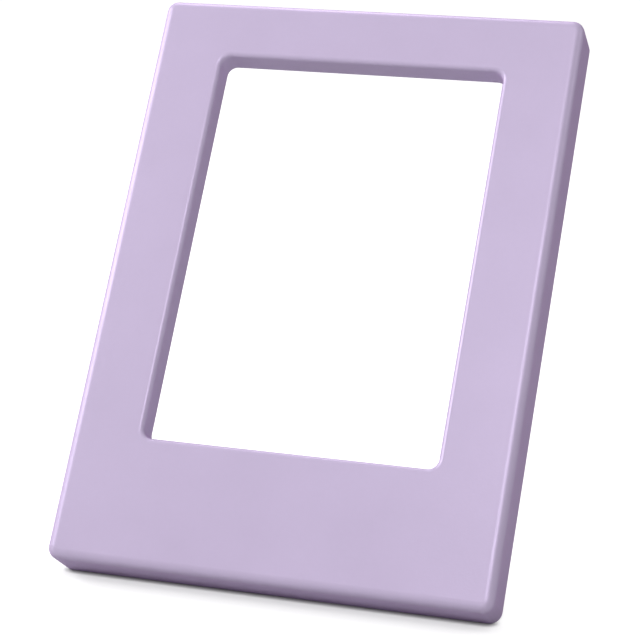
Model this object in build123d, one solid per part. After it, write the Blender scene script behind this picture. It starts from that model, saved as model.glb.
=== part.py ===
from build123d import *

import math
import os

# A magnetic frame for one card-size instant print, leaning back on its fold-out leg.
# Two plastic mouldings grip the print and are drawn together by disc magnets.
# Each piece is modelled lying face up: X to the right, Y up the face and Z out of it, with the
# face at Z = 0 and the middle of the bottom edge at X = Y = 0. Then the whole frame is stood up.

# The print that the frame holds, with a little room to either side and to the front and back
print_width = 54.0
print_height = 86.0
print_gap = 0.2
print_space = 0.4

# How far the bezel covers the print's edges, and how far the frame reaches beyond the print
cover_side = 4.2
cover_bottom = 16.4
cover_top = 6.1
side_border = 7.0
end_border = 3.4

# Roundings of the outside, and the lean back from upright when it stands on a desk
edge_radius = 1.4
corner_extra = 0.4
rear_edge_radius = 0.5
lean_angle = 36.5

# Window in the front bezel
window_edge_radius = 0.8
window_corner_radius = 1.6

# Walls of the front bezel
face_wall = 1.8
rim_wall = 1.8
window_wall = 1.5
rib_wall = 1.0
cavity_corner_radius = 0.6

# Low guides behind the bezel that keep the print in place
guide_length = 10.0
guide_rise = 0.3
guide_setback = 16.0
stop_width = 3.0
stop_spread = 15.0

# Disc magnets, each in a blind pocket closed by a pressed-in cap
magnet_diameter = 6.0
magnet_thickness = 2.0
cap_thickness = 0.4
pocket_gap = 0.05
boss_wall = 1.0
boss_overlap = 0.3

# Rear frame, a drop-in fit inside the rim of the bezel, with its window out of sight behind the bezel's
seat_gap = 0.2
back_wall = 1.0
rear_wall = 1.2
rear_window_web = 0.4
rear_window_drop = 0.8
rear_window_rise = 3.2
rear_window_corner_radius = 2.0

# Ribs inside both mouldings
side_rib_count = 6
end_rib_count = 5

# Nail notch in the rim, to lift the two halves apart
notch_radius = 14.0
notch_depth = 1.4

# Fold-out leg and its hinge
leg_thickness = 2.4
leg_sink = 0.2
leg_side_gap = 0.2
leg_stop_gap = 0.15
leg_tip_radius = 2.0
leg_web = 1.2
leg_border = 2.2
hinge_x = 0.0
pin_diameter = 1.2
pin_running_gap = 0.05
pin_seat_gap = 0.02
pin_end_depth = 0.8
scoop_radius = 4.5
scoop_depth = 1.8

# The outside and the window, worked out from the print
outer_width = print_width + 2 * side_border
outer_height = print_height + 2 * end_border
window_width = print_width - 2 * cover_side
window_height = print_height - cover_bottom - cover_top
chin_height = end_border + cover_bottom
window_top = chin_height + window_height
corner_radius = edge_radius + corner_extra

# The depths, worked out from the walls, the magnets and their caps
window_depth = face_wall + magnet_thickness + cap_thickness
rear_front = window_depth + print_space
rear_thickness = cap_thickness + magnet_thickness + back_wall
outer_depth = rear_front + rear_thickness

# The room inside the rim, and the rear frame in it
cavity_width = outer_width - 2 * rim_wall
cavity_height = outer_height - 2 * rim_wall
rear_width = cavity_width - 2 * seat_gap
rear_height = cavity_height - 2 * seat_gap
rear_bottom = rim_wall + seat_gap

# The magnets' pockets sit in the corners, and the rear window keeps clear of them
pocket_radius = magnet_diameter / 2 + pocket_gap
boss_radius = pocket_radius + boss_wall
magnet_inset = rim_wall + boss_radius - boss_overlap
rear_window_width = outer_width - 2 * (magnet_inset + pocket_radius + rear_window_web)
rear_window_bottom = chin_height - rear_window_drop
rear_window_top = window_top + rear_window_rise
rear_window_height = rear_window_top - rear_window_bottom

# The leg's hinge axis runs up the face, half a leg's thickness under the frame's back
hinge_z = -outer_depth + leg_sink + leg_thickness / 2
leg_bottom = rear_bottom + rear_wall + leg_side_gap
leg_top = rear_window_bottom - rear_wall - leg_side_gap

# The desk, as the plane Y cos(lean) + Z sin(lean) = desk_level that the rounded rear edge rests on
lean = math.radians(lean_angle)
edge_lift = rear_edge_radius * (math.cos(lean) + math.sin(lean) - 1)
desk_level = edge_lift - outer_depth * math.sin(lean)


def slab(width, height, bottom, radius, top, depth):
    """A rounded rectangle centred on X, from the level top down through depth."""
    outline = Pos(0, bottom + height / 2, top) * RectangleRounded(width, height, radius)
    return extrude(outline, -depth)


def block(x0, x1, y0, y1, z0, z1):
    """A plain block between three pairs of faces."""
    corner = (Align.MIN, Align.MIN, Align.MIN)
    return Pos(x0, y0, z0) * Box(x1 - x0, y1 - y0, z1 - z0, align=corner)


def upright(radius, x, y, top, depth):
    """A cylinder square to the face, from the level top down through depth."""
    return Pos(x, y, top - depth / 2) * Cylinder(radius, depth)


def magnet_places():
    """The name and the centre of each corner that has a pair of magnets."""
    places = {}
    for row, y in (("bottom", magnet_inset), ("top", outer_height - magnet_inset)):
        for side, sign in (("left", -1), ("right", 1)):
            places[row + "_" + side] = (sign * (outer_width / 2 - magnet_inset), y)
    return places


def spread(low, high, count):
    """Even steps between two ends, without the ends."""
    step = (high - low) / (count + 1)
    return [low + step * (i + 1) for i in range(count)]


def strip_ribs(inner_half_width, low, high, top, depth):
    """Cross ribs in the two side strips, and upright ribs over and under the window."""
    half = cavity_width / 2
    ribs = []
    for y in spread(low, high, side_rib_count):
        for sign in (-1, 1):
            x0, x1 = sorted((sign * inner_half_width, sign * half))
            ribs.append(block(x0, x1, y - rib_wall / 2, y + rib_wall / 2, top - depth, top))
    for x in spread(-inner_half_width, inner_half_width, end_rib_count):
        for y0, y1 in ((rim_wall, low), (high, outer_height - rim_wall)):
            ribs.append(block(x - rib_wall / 2, x + rib_wall / 2, y0, y1, top - depth, top))
    return ribs


def print_guides():
    """Low ribs that keep the print's edges in place, and stops at its two ends."""
    top = -face_wall
    depth = window_depth + guide_rise - face_wall
    inner = print_width / 2 + print_gap
    guides = []
    for y0 in (chin_height + guide_setback - guide_length, window_top - guide_setback):
        for sign in (-1, 1):
            x0, x1 = sorted((sign * inner, sign * (inner + rib_wall)))
            guides.append(block(x0, x1, y0, y0 + guide_length, top - depth, top))
    stop_reach = end_border - print_gap
    for y0, y1 in ((rim_wall, stop_reach), (outer_height - stop_reach, outer_height - rim_wall)):
        for x in (-stop_spread, stop_spread):
            guides.append(block(x - stop_width / 2, x + stop_width / 2, y0, y1, top - depth, top))
    return guides


def window_edges(body):
    """The edges of the window where it opens through the face."""
    slack = 0.01
    found = []
    for edge in body.edges().group_by(Axis.Z)[-1]:
        middle = edge.center()
        across = abs(middle.X) < window_width / 2 + slack
        along = chin_height - slack < middle.Y < window_top + slack
        if across and along:
            found.append(edge)
    return found


def nail_notch():
    """A shallow scoop in the rear of the rim, at the middle of the top."""
    axis_level = -outer_depth - notch_radius + notch_depth
    scoop = Rot(90, 0, 0) * Cylinder(notch_radius, rim_wall * 2)
    return Pos(0, outer_height, axis_level) * scoop


def front_bezel():
    """The face, its rim and the wall round the window, hollow at the back between its ribs."""
    body = slab(outer_width, outer_height, 0, corner_radius, 0, outer_depth)
    body = fillet(body.edges().group_by(Axis.Z)[-1], edge_radius)
    body = fillet(body.edges().group_by(Axis.Z)[0], rear_edge_radius)
    body -= slab(window_width, window_height, chin_height, window_corner_radius, 0, outer_depth)
    body = fillet(window_edges(body), window_edge_radius)

    hollow_depth = outer_depth - face_wall
    wall_depth = window_depth - face_wall
    hollow = slab(cavity_width, cavity_height, rim_wall, cavity_corner_radius, -face_wall, hollow_depth)
    keep = slab(
        window_width + 2 * window_wall,
        window_height + 2 * window_wall,
        chin_height - window_wall,
        window_corner_radius + window_wall,
        -face_wall,
        wall_depth,
    )
    inner_half = window_width / 2 + window_wall / 2
    low = chin_height - window_wall / 2
    high = window_top + window_wall / 2
    for rib in strip_ribs(inner_half, low, high, -face_wall, wall_depth):
        keep += rib
    for x, y in magnet_places().values():
        keep += upright(boss_radius, x, y, -face_wall, wall_depth)
    for guide in print_guides():
        keep += guide
    body -= hollow - keep
    for x, y in magnet_places().values():
        body -= upright(pocket_radius, x, y, -face_wall, wall_depth)
    return body - nail_notch()


def desk_line(reach):
    """Height up the face at which the opened leg meets the desk, at a reach from its hinge."""
    z = hinge_z - reach
    return (desk_level - z * math.sin(lean)) / math.cos(lean)


def desk_reach(y):
    """The reach from the hinge at which the desk is at the height y up the face."""
    return hinge_z - (desk_level - y * math.cos(lean)) / math.sin(lean)


def leg_outline():
    """The leg's side: square at the hinge, with one edge cut to lie along the desk."""
    heel = -leg_thickness / 2
    corners = [
        (heel, leg_bottom),
        (desk_reach(leg_bottom), leg_bottom),
        (desk_reach(leg_top), leg_top),
        (heel, leg_top),
    ]
    points = [(hinge_x - reach, y) for reach, y in corners]
    outline = make_face(Polyline(*points, close=True))
    tip = outline.vertices().sort_by(Axis.X)[0]
    return fillet(tip, leg_tip_radius)


def folded_leg():
    """The leg as it lies in its recess: a plate with a rounded hinge end and a thinner middle."""
    plate = extrude(Pos(0, 0, hinge_z - leg_thickness / 2) * leg_outline(), leg_thickness)
    height = leg_top - leg_bottom
    middle = (leg_bottom + leg_top) / 2
    half = leg_thickness / 2
    barrel = Pos(hinge_x, middle, hinge_z) * Rot(90, 0, 0) * Cylinder(half, height)
    tip_x = hinge_x - desk_reach(leg_top)
    arm = block(tip_x, hinge_x, leg_bottom, leg_top, hinge_z - half, hinge_z + half)
    leg = plate & (barrel + arm)
    thin = offset(leg_outline(), -leg_border, kind=Kind.INTERSECTION)
    leg -= extrude(Pos(0, 0, hinge_z - half + leg_web) * thin, leg_thickness)
    bore = Cylinder(pin_diameter / 2 + pin_running_gap, 2 * height)
    return leg - Pos(hinge_x, middle, hinge_z) * Rot(90, 0, 0) * bore


def support_leg():
    """The leg swung out square to the back, as it stands on the desk."""
    to_axis = Pos(hinge_x, 0, hinge_z)
    return to_axis * Rot(0, -90, 0) * to_axis.inverse() * folded_leg()


def hinge_pin():
    """A plain pin, pressed in from the bottom edge of the rear frame."""
    low = rear_bottom
    high = leg_top + leg_side_gap + pin_end_depth
    pin = Rot(90, 0, 0) * Cylinder(pin_diameter / 2, high - low)
    return Pos(hinge_x, (low + high) / 2, hinge_z) * pin


def finger_scoop(radius, top, depth):
    """A round space over the folded leg's tip, where a finger nail gets behind it."""
    x = hinge_x - desk_reach(leg_top) + leg_tip_radius
    y = leg_top - leg_side_gap - leg_tip_radius
    return upright(radius, x, y, top, depth)


def leg_recess():
    """The space that the folded leg lies in, open to the back, with a scoop for a finger nail."""
    floor_level = hinge_z + leg_thickness / 2 + leg_sink
    depth = floor_level + outer_depth
    plan = offset(leg_outline(), leg_side_gap, kind=Kind.INTERSECTION)
    recess = extrude(Pos(0, 0, floor_level) * plan, -depth)
    stop = hinge_x + leg_thickness / 2 + leg_stop_gap
    recess &= block(-outer_width, stop, 0, outer_height, -outer_depth, 0)
    scoop = finger_scoop(scoop_radius, -outer_depth + scoop_depth, scoop_depth)
    below = block(-outer_width, outer_width, 0, leg_top + leg_side_gap, -outer_depth, 0)
    return recess + (scoop & below)


def leg_housing():
    """The solid part of the rear frame's chin that the recess is sunk in."""
    plan = offset(leg_outline(), leg_side_gap + rear_wall, kind=Kind.INTERSECTION)
    housing = extrude(Pos(0, 0, -rear_front) * plan, -rear_thickness)
    return housing + finger_scoop(scoop_radius + rear_wall, -rear_front, rear_thickness)


def pin_hole():
    """The blind hole for the hinge pin, bored in from the bottom edge of the rear frame."""
    end = leg_top + leg_side_gap + pin_end_depth + pin_seat_gap
    hole = Rot(90, 0, 0) * Cylinder(pin_diameter / 2 + pin_seat_gap, end)
    return Pos(hinge_x, end / 2, hinge_z) * hole


def rear_frame():
    """The moulding that drops into the bezel's rim behind the print and carries the leg."""
    body = slab(rear_width, rear_height, rear_bottom, cavity_corner_radius, -rear_front, rear_thickness)
    body -= slab(
        rear_window_width,
        rear_window_height,
        rear_window_bottom,
        rear_window_corner_radius,
        -rear_front,
        rear_thickness,
    )
    hollow_depth = rear_thickness - back_wall
    hollow = slab(
        rear_width - 2 * rear_wall,
        rear_height - 2 * rear_wall,
        rear_bottom + rear_wall,
        cavity_corner_radius,
        -rear_front,
        hollow_depth,
    )
    keep = slab(
        rear_window_width + 2 * rear_wall,
        rear_window_height + 2 * rear_wall,
        rear_window_bottom - rear_wall,
        rear_window_corner_radius + rear_wall,
        -rear_front,
        hollow_depth,
    )
    inner_half = (rear_window_width + rear_wall) / 2
    low = rear_window_bottom - rear_wall / 2
    high = rear_window_top + rear_wall / 2
    for rib in strip_ribs(inner_half, low, high, -rear_front, hollow_depth):
        keep += rib
    for x, y in magnet_places().values():
        keep += upright(boss_radius, x, y, -rear_front, hollow_depth)
    keep += leg_housing()
    body -= hollow - keep
    for x, y in magnet_places().values():
        body -= upright(pocket_radius, x, y, -rear_front, cap_thickness + magnet_thickness)
    body -= leg_recess()
    return body - pin_hole()


def magnet(x, y, top):
    """One disc magnet, from the level top down."""
    return upright(magnet_diameter / 2, x, y, top, magnet_thickness)


def cap(x, y, top):
    """The thin disc that closes a magnet's pocket."""
    return upright(magnet_diameter / 2, x, y, top, cap_thickness)


def pieces():
    """Every piece of the frame by its name, still lying face up."""
    found = {
        "front_bezel": front_bezel(),
        "rear_frame": rear_frame(),
        "support_leg": support_leg(),
        "hinge_pin": hinge_pin(),
    }
    for place, (x, y) in magnet_places().items():
        found["front_magnet_" + place] = magnet(x, y, -face_wall)
        found["front_magnet_cap_" + place] = cap(x, y, -face_wall - magnet_thickness)
        found["rear_magnet_cap_" + place] = cap(x, y, -rear_front)
        found["rear_magnet_" + place] = magnet(x, y, -rear_front - cap_thickness)
    return found


def standing(found):
    """Leans the pieces back and sets the frame on the desk, with the origin under its middle."""
    lean_back = Rot(90 - lean_angle, 0, 0)
    leaned = {name: lean_back * shape for name, shape in found.items()}
    box = Compound(list(leaned.values())).bounding_box()
    shift = Pos(-(box.min.X + box.max.X) / 2, -(box.min.Y + box.max.Y) / 2, -box.min.Z)
    return {name: shift * shape for name, shape in leaned.items()}, shift * lean_back


def report_places(place):
    """Prints the joint axes, mounts and window corners in the standing frame."""
    strip_middle = (rear_window_width + rear_width) / 4
    half_reach = desk_reach(leg_top) / 2
    points = {
        "hinge axis": (hinge_x, (leg_bottom + leg_top) / 2, hinge_z),
        "back face, right of the window": (strip_middle, outer_height / 2, -outer_depth),
        "leg foot": (hinge_x, desk_line(half_reach), hinge_z - half_reach),
        "window bottom, front": (0, chin_height, 0),
        "window bottom, back": (0, rear_window_bottom, -outer_depth),
        "window top, front": (0, window_top, 0),
        "window top, back": (0, window_top, -outer_depth),
    }
    for name, point in points.items():
        spot = (place * Pos(*point)).position
        print(f"{name}: {spot.X:.3f} {spot.Y:.3f} {spot.Z:.3f}")


def build():
    os.makedirs("parts", exist_ok=True)
    found, place = standing(pieces())
    for name, shape in found.items():
        export_step(shape, "parts/" + name + ".step")
    report_places(place)


build()
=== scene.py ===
import math

import bmesh
import bpy
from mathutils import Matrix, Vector


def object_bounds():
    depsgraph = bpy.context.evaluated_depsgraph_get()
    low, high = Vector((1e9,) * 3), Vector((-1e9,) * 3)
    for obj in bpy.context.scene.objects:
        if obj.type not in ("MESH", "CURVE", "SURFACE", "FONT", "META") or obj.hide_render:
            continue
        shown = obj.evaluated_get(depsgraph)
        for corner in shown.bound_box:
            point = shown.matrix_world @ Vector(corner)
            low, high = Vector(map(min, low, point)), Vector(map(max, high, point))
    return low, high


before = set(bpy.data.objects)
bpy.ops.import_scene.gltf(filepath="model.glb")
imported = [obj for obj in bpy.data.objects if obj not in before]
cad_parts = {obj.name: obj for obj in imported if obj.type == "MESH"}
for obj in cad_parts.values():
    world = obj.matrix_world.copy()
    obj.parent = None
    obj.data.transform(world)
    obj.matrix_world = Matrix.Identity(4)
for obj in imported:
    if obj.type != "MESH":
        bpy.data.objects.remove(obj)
cad_low, cad_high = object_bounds()

# Front bezel: one injection moulding in satin ABS, coloured through, with a little pearl pigment.
# The tool's surface is finely blasted, which leaves a close grain that softens the gloss.
# It drops over the rear frame and is held by its four magnets alone.


def socket_group(name, inputs, outputs):
    """A shader node group with named value inputs and outputs, and the nodes at its two ends."""
    group = bpy.data.node_groups.new(name, "ShaderNodeTree")
    for end, labels in (("INPUT", inputs), ("OUTPUT", outputs)):
        for label in labels:
            group.interface.new_socket(label, in_out=end, socket_type="NodeSocketFloat")
    return group, group.nodes.new("NodeGroupInput"), group.nodes.new("NodeGroupOutput")


def noise(tree, place, scale, detail, roughness):
    """A noise texture on the piece's own coordinates. Its scale counts the grains to the metre."""
    made = tree.nodes.new("ShaderNodeTexNoise")
    made.inputs["Scale"].default_value = scale
    made.inputs["Detail"].default_value = detail
    made.inputs["Roughness"].default_value = roughness
    tree.links.new(place.outputs["Object"], made.inputs["Vector"])
    return made.outputs["Fac"]


def between(tree, value, read, given):
    """A Map Range node that carries the range it reads to the range it gives."""
    made = tree.nodes.new("ShaderNodeMapRange")
    for label, number in zip(("From Min", "From Max", "To Min", "To Max"), read + given):
        made.inputs[label].default_value = number
    tree.links.new(value, made.inputs["Value"])
    return made.outputs["Result"]


def arithmetic(tree, operation, first, second):
    """A Math node on two values, each a socket or a number."""
    made = tree.nodes.new("ShaderNodeMath")
    made.operation = operation
    for index, value in enumerate((first, second)):
        if isinstance(value, (int, float)):
            made.inputs[index].default_value = value
        else:
            tree.links.new(value, made.inputs[index])
    return made.outputs["Value"]


# The mould's grain: colour that drifts as the plastic flowed, specks of pigment, the blasted
# texture, the long soft waves of a cooled skin, and a gloss broken by them and by finger marks
tree, entry, leave = socket_group(
    "mould grain",
    inputs=("Drift", "Speckle", "Grain", "Swell"),
    outputs=("Tone", "Gloss", "Height"),
)
mould_grain = tree
place = tree.nodes.new("ShaderNodeTexCoord")
flow = noise(tree, place, scale=110, detail=2, roughness=0.5)
flow = between(tree, flow, read=(0.25, 0.75), given=(-0.5, 0.5))
pigment = noise(tree, place, scale=1400, detail=2, roughness=0.6)
pigment = between(tree, pigment, read=(0.25, 0.75), given=(-0.5, 0.5))
drift = arithmetic(tree, "MULTIPLY", flow, entry.outputs["Drift"])
speckle = arithmetic(tree, "MULTIPLY", pigment, entry.outputs["Speckle"])
tree.links.new(arithmetic(tree, "ADD", drift, speckle), leave.inputs["Tone"])
ripple = noise(tree, place, scale=95, detail=2, roughness=0.5)
ripple = between(tree, ripple, read=(0.3, 0.7), given=(-0.35, 0.35))
fingers = noise(tree, place, scale=45, detail=5, roughness=0.7)
fingers = between(tree, fingers, read=(0.55, 0.7), given=(0, 0.3))
tree.links.new(arithmetic(tree, "SUBTRACT", ripple, fingers), leave.inputs["Gloss"])
blasted = noise(tree, place, scale=2600, detail=2, roughness=0.5)
blasted = arithmetic(tree, "MULTIPLY", blasted, entry.outputs["Grain"])
swell = noise(tree, place, scale=70, detail=1, roughness=0.4)
swell = arithmetic(tree, "MULTIPLY", swell, entry.outputs["Swell"])
tree.links.new(arithmetic(tree, "ADD", blasted, swell), leave.inputs["Height"])

# Edges rubbed by handling: found where the rounded normal leaves the surface's own, and broken
# up by noise
tree, entry, leave = socket_group("rubbed edge", inputs=("Reach", "Amount"), outputs=("Mask",))
rubbed_edge = tree
place = tree.nodes.new("ShaderNodeTexCoord")
rounded = tree.nodes.new("ShaderNodeBevel")
rounded.samples = 6
tree.links.new(entry.outputs["Reach"], rounded.inputs["Radius"])
surface = tree.nodes.new("ShaderNodeNewGeometry")
alike = tree.nodes.new("ShaderNodeVectorMath")
alike.operation = "DOT_PRODUCT"
tree.links.new(rounded.outputs["Normal"], alike.inputs[0])
tree.links.new(surface.outputs["Normal"], alike.inputs[1])
edge = between(tree, alike.outputs["Value"], read=(0.99, 0.8), given=(0, 1))
broken = noise(tree, place, scale=420, detail=4, roughness=0.6)
broken = between(tree, broken, read=(0.42, 0.62), given=(0, 1))
rubbed = arithmetic(tree, "MULTIPLY", edge, broken)
rubbed = arithmetic(tree, "MULTIPLY", rubbed, entry.outputs["Amount"])
tree.links.new(rubbed, leave.inputs["Mask"])


def group_node(tree, group, **values):
    """A group placed in a material with its own values."""
    made = tree.nodes.new("ShaderNodeGroup")
    made.node_tree = group
    for label, value in values.items():
        made.inputs[label].default_value = value
    return made


def blend(tree, factor, first, second):
    """A Mix node from one colour to another, each a socket or a written colour."""
    made = tree.nodes.new("ShaderNodeMix")
    made.data_type = "RGBA"
    tree.links.new(factor, made.inputs["Factor"])
    for label, colour in (("A", first), ("B", second)):
        if isinstance(colour, tuple):
            made.inputs[label].default_value = (*colour, 1)
        else:
            tree.links.new(colour, made.inputs[label])
    return made.outputs["Result"]


def bumped(tree, shader, height, strength, distance):
    """Gives a shader the normals of a bumpy surface."""
    bump = tree.nodes.new("ShaderNodeBump")
    bump.inputs["Strength"].default_value = strength
    bump.inputs["Distance"].default_value = distance
    tree.links.new(height, bump.inputs["Height"])
    tree.links.new(bump.outputs["Normal"], shader.inputs["Normal"])


# How much less rough the plastic is where its edge is rubbed all the way
rubbed_polish = 0.1


def satin_plastic(name, colour, rubbed_colour, gloss_range, grain_height):
    """A moulded plastic whose pearl pigment gives it a soft gloss of its own colour, and a deeper
    purple where it is seen aslant. The colour drifts a little, the grain is fine, and the edges
    are rubbed smoother."""
    made = bpy.data.materials.new(name)
    made.use_nodes = True
    tree = made.node_tree
    shader = tree.nodes["Principled BSDF"]
    shader.inputs["Specular IOR Level"].default_value = 0
    shader.inputs["Metallic"].default_value = 0.12
    shader.inputs["Sheen Weight"].default_value = 0.3
    shader.inputs["Sheen Roughness"].default_value = 0.5
    shader.inputs["Sheen Tint"].default_value = (0.7, 0.25, 0.9, 1)
    grain = group_node(tree, mould_grain, Drift=0.03, Speckle=0.012, Grain=1.0, Swell=1.6)
    edges = group_node(tree, rubbed_edge, Reach=0.0005, Amount=0.5)
    tone = tree.nodes.new("ShaderNodeHueSaturation")
    tone.inputs["Color"].default_value = (*colour, 1)
    brightness = arithmetic(tree, "ADD", grain.outputs["Tone"], 1.0)
    tree.links.new(brightness, tone.inputs["Value"])
    worn = blend(tree, edges.outputs["Mask"], tone.outputs["Color"], rubbed_colour)
    tree.links.new(worn, shader.inputs["Base Color"])
    gloss = between(tree, grain.outputs["Gloss"], read=(-0.5, 0.5), given=gloss_range)
    polish = arithmetic(tree, "MULTIPLY", edges.outputs["Mask"], rubbed_polish)
    tree.links.new(arithmetic(tree, "SUBTRACT", gloss, polish), shader.inputs["Roughness"])
    bumped(tree, shader, grain.outputs["Height"], strength=0.35, distance=grain_height)
    return made


def finish_with(node, material):
    """Gives a solid of the frame one material all over."""
    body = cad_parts[node]
    body.data.materials.clear()
    body.data.materials.append(material)


lavender_satin = satin_plastic(
    "lavender satin",
    colour=(0.60, 0.509, 0.708),
    rubbed_colour=(0.66, 0.574, 0.753),
    gloss_range=(0.30, 0.38),
    grain_height=0.00003,
)
finish_with("front_bezel", lavender_satin)

# Rear frame and support leg: the same plastic from the same press, in a plainer blasted finish.
# The rear frame drops inside the bezel's rim, and the leg turns on a pin in its lower border.
rear_satin = satin_plastic(
    "rear lavender satin",
    colour=(0.59, 0.499, 0.698),
    rubbed_colour=(0.65, 0.564, 0.743),
    gloss_range=(0.40, 0.50),
    grain_height=0.00005,
)
finish_with("rear_frame", rear_satin)
finish_with("support_leg", rear_satin)

# Caps over the magnets: thin discs of the same plastic, pressed into the mouths of the pockets.
# They are punched from sheet, so they are a little darker and more matt than the mouldings.
cap_plastic = satin_plastic(
    "punched cap sheet",
    colour=(0.54, 0.445, 0.645),
    rubbed_colour=(0.61, 0.515, 0.70),
    gloss_range=(0.50, 0.60),
    grain_height=0.00006,
)
halves = ("front", "rear")
corners = ("bottom_left", "bottom_right", "top_left", "top_right")
for half in halves:
    for corner in corners:
        finish_with(f"{half}_magnet_cap_{corner}", cap_plastic)

# Disc magnets: pressed neodymium with a bright nickel plating, tumbled before it is plated.
# Each sits in its blind pocket behind a cap, one pair at every corner.


def bright_metal(name, colour, dull_colour, gloss_range, scratch_scale):
    """A plated or drawn metal: its tone and gloss vary, and its edges are rubbed."""
    made = bpy.data.materials.new(name)
    made.use_nodes = True
    tree = made.node_tree
    shader = tree.nodes["Principled BSDF"]
    shader.inputs["Metallic"].default_value = 1
    place = tree.nodes.new("ShaderNodeTexCoord")
    stain = noise(tree, place, scale=600, detail=4, roughness=0.6)
    stain = between(tree, stain, read=(0.45, 0.75), given=(0, 1))
    scratches = noise(tree, place, scale=scratch_scale, detail=3, roughness=0.7)
    edges = group_node(tree, rubbed_edge, Reach=0.0003, Amount=0.2)
    tree.links.new(blend(tree, stain, colour, dull_colour), shader.inputs["Base Color"])
    gloss = between(tree, scratches, read=(0.3, 0.7), given=gloss_range)
    rubbed = arithmetic(tree, "ADD", gloss, edges.outputs["Mask"])
    tree.links.new(rubbed, shader.inputs["Roughness"])
    bumped(tree, shader, scratches, strength=0.25, distance=0.00001)
    return made


bright_nickel = bright_metal(
    "bright nickel",
    colour=(0.66, 0.63, 0.58),
    dull_colour=(0.55, 0.52, 0.47),
    gloss_range=(0.16, 0.28),
    scratch_scale=2200,
)
for half in halves:
    for corner in corners:
        finish_with(f"{half}_magnet_{corner}", bright_nickel)

# Hinge pin: a length of drawn steel wire, pressed up into the rear frame from its bottom edge.
# The leg's barrel turns on it.
drawn_steel = bright_metal(
    "drawn steel",
    colour=(0.56, 0.56, 0.57),
    dull_colour=(0.43, 0.43, 0.44),
    gloss_range=(0.24, 0.38),
    scratch_scale=1500,
)
finish_with("hinge_pin", drawn_steel)

# Floor: a plain sheet that the frame stands on, far wider than the view, and seen as white.
# The white that the camera and the gloss see is a glow of the sheet's own, dimmed near the frame
# into a painted shadow: a dark line right under its foot, and a faint one that fades within a few
# millimetres. The grey sheet also takes the lamps' real shadow.
floor_half_width = 3
# Reach and share of the glow for the painted contact shadow and the fainter painted shade
contact_reach, contact_share = 0.001, 0.55
shade_reach, shade_share = 0.012, 0.35
sheet = bmesh.new()
bmesh.ops.create_grid(sheet, x_segments=1, y_segments=1, size=floor_half_width)
floor_mesh = bpy.data.meshes.new("floor")
sheet.to_mesh(floor_mesh)
sheet.free()
floor = bpy.data.objects.new("floor", floor_mesh)
bpy.context.scene.collection.objects.link(floor)


def white_seen(tree):
    """1 for what the camera, a reflection or a view through glass sees, and 0 for other light."""
    path = tree.nodes.new("ShaderNodeLightPath")
    seen = path.outputs["Is Camera Ray"]
    for kind in ("Is Glossy Ray", "Is Transmission Ray"):
        seen = arithmetic(tree, "MAXIMUM", seen, path.outputs[kind])
    return seen


def open_sky(tree, reach, read):
    """How far the floor is clear of the frame within a reach, from 0 to 1. It dims the floor's
    glow into a painted shadow.
    """
    made = tree.nodes.new("ShaderNodeAmbientOcclusion")
    made.inputs["Distance"].default_value = reach
    return between(tree, made.outputs["AO"], read, given=(0, 1))


floor_paper = bpy.data.materials.new("floor paper")
floor_paper.use_nodes = True
tree = floor_paper.node_tree
shader = tree.nodes["Principled BSDF"]
shader.inputs["Base Color"].default_value = (0.4, 0.4, 0.4, 1)
shader.inputs["Roughness"].default_value = 0.9
shader.inputs["Specular IOR Level"].default_value = 0.1
shader.inputs["Emission Color"].default_value = (1, 1, 1, 1)
# The glow is dimmed where the frame closes the floor in: a painted contact shadow and a fainter
# painted shade around it
contact = open_sky(tree, contact_reach, read=(0.15, 0.8))
contact = arithmetic(tree, "MULTIPLY", contact, contact_share)
shade = open_sky(tree, shade_reach, read=(0.05, 0.85))
shade = arithmetic(tree, "MULTIPLY", shade, shade_share)
glow_less_painted_shadow = arithmetic(tree, "ADD", contact, shade)
painted_floor_glow = arithmetic(tree, "MULTIPLY", glow_less_painted_shadow, white_seen(tree))
tree.links.new(painted_floor_glow, shader.inputs["Emission Strength"])
floor_mesh.materials.append(floor_paper)

# Backdrop and air: a white room to the camera and the gloss, which gives no light of its own
world = bpy.data.worlds.new("white room")
bpy.context.scene.world = world
world.use_nodes = True
tree = world.node_tree
background = tree.nodes["Background"]
background.inputs["Color"].default_value = (1, 1, 1, 1)
tree.links.new(white_seen(tree), background.inputs["Strength"])

# Studio lights: square softboxes round the frame, all as far away as each other
light_distance = 0.5
softbox_size = 0.2
kicker_size = 0.1


def softbox(name, bearing, height, power, size=softbox_size):
    """A softbox that faces the frame's middle, from a bearing in degrees (0 in front, 90 on the
    right) and a height in degrees over the floor."""
    lamp = bpy.data.lights.new(name, "AREA")
    lamp.size = size
    lamp.energy = power
    made = bpy.data.objects.new(name, lamp)
    turn, rise = math.radians(bearing), math.radians(height)
    across, away = math.sin(turn) * math.cos(rise), -math.cos(turn) * math.cos(rise)
    towards = Vector((across, away, math.sin(rise)))
    made.location = (cad_low + cad_high) / 2 + towards * light_distance
    made.rotation_euler = towards.to_track_quat("Z", "Y").to_euler()
    bpy.context.scene.collection.objects.link(made)


softbox("key softbox", bearing=10, height=50, power=0.52)
softbox("high right softbox", bearing=30, height=45, power=0.45)
softbox("edge kicker", bearing=22, height=52, power=0.12, size=kicker_size)
softbox("low front fill", bearing=5, height=10, power=0.3)
softbox("left softbox", bearing=-70, height=35, power=1.1)
softbox("left edge light", bearing=-96, height=23, power=0.85)
softbox("rear edge light", bearing=-150, height=50, power=0.9)
softbox("right softbox", bearing=105, height=28, power=0.2)

# Camera: a little to the right of the frame and above it, with a long lens, as in the photograph
camera_bearing, camera_elevation = 17.324, 17.037
camera = bpy.data.objects.new("camera", bpy.data.cameras.new("camera"))
camera.data.lens = 123.34
camera.data.sensor_width = 36
camera.data.clip_start = 0.01
camera.location = (0.09461, -0.30576, 0.13324)
camera.rotation_euler = (math.radians(90 - camera_elevation), 0, math.radians(camera_bearing))
bpy.context.scene.collection.objects.link(camera)
bpy.context.scene.camera = camera
bpy.context.scene.view_settings.view_transform = "Standard"
